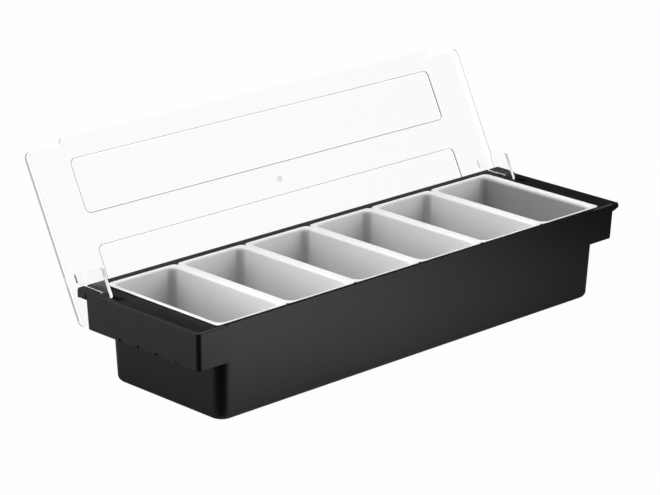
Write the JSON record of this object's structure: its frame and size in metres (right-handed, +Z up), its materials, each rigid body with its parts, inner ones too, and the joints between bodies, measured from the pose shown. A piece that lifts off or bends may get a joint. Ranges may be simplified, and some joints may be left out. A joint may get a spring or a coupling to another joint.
{
  "type": "condiment caddy",
  "caption": "Long bar-top condiment caddy: lift-out pans hang in a housing with an ice well, under a clear lid that flips back on two ears.",
  "frame": {"origin": "middle of the housing's flat foot, on the table", "axes": "+X along the length to the user's right, +Y from the front to the hinge side, +Z up"},
  "size_m": [0.4914, 0.2052, 0.1828],
  "materials": {
    "housing": "black satin moulded plastic",
    "lid": "clear glossy moulded plastic",
    "pan": "white satin moulded plastic"
  },
  "bodies": {
    "housing": {"housing": "housing"},
    "lid": {"lid": "lid"},
    "pan_1": {"pan_1": "pan"},
    "pan_2": {"pan_2": "pan"},
    "pan_3": {"pan_3": "pan"},
    "pan_4": {"pan_4": "pan"},
    "pan_5": {"pan_5": "pan"},
    "pan_6": {"pan_6": "pan"}
  },
  "joints": [
    {"name": "lid_hinge", "type": "hinge", "parent": "housing", "child": "lid", "pos_m": [0, 0.06251, 0.0719], "axis": [-1, 0, 0], "range_deg": [-118.3, 0]},
    {"name": "pan_1_lift", "type": "slide", "parent": "housing", "child": "pan_1", "axis": [0, 0, 1], "range_m": [0, 0.08]},
    {"name": "pan_2_lift", "type": "slide", "parent": "housing", "child": "pan_2", "axis": [0, 0, 1], "range_m": [0, 0.08]},
    {"name": "pan_3_lift", "type": "slide", "parent": "housing", "child": "pan_3", "axis": [0, 0, 1], "range_m": [0, 0.08]},
    {"name": "pan_4_lift", "type": "slide", "parent": "housing", "child": "pan_4", "axis": [0, 0, 1], "range_m": [0, 0.08]},
    {"name": "pan_5_lift", "type": "slide", "parent": "housing", "child": "pan_5", "axis": [0, 0, 1], "range_m": [0, 0.08]},
    {"name": "pan_6_lift", "type": "slide", "parent": "housing", "child": "pan_6", "axis": [0, 0, 1], "range_m": [0, 0.08]}
  ]
}
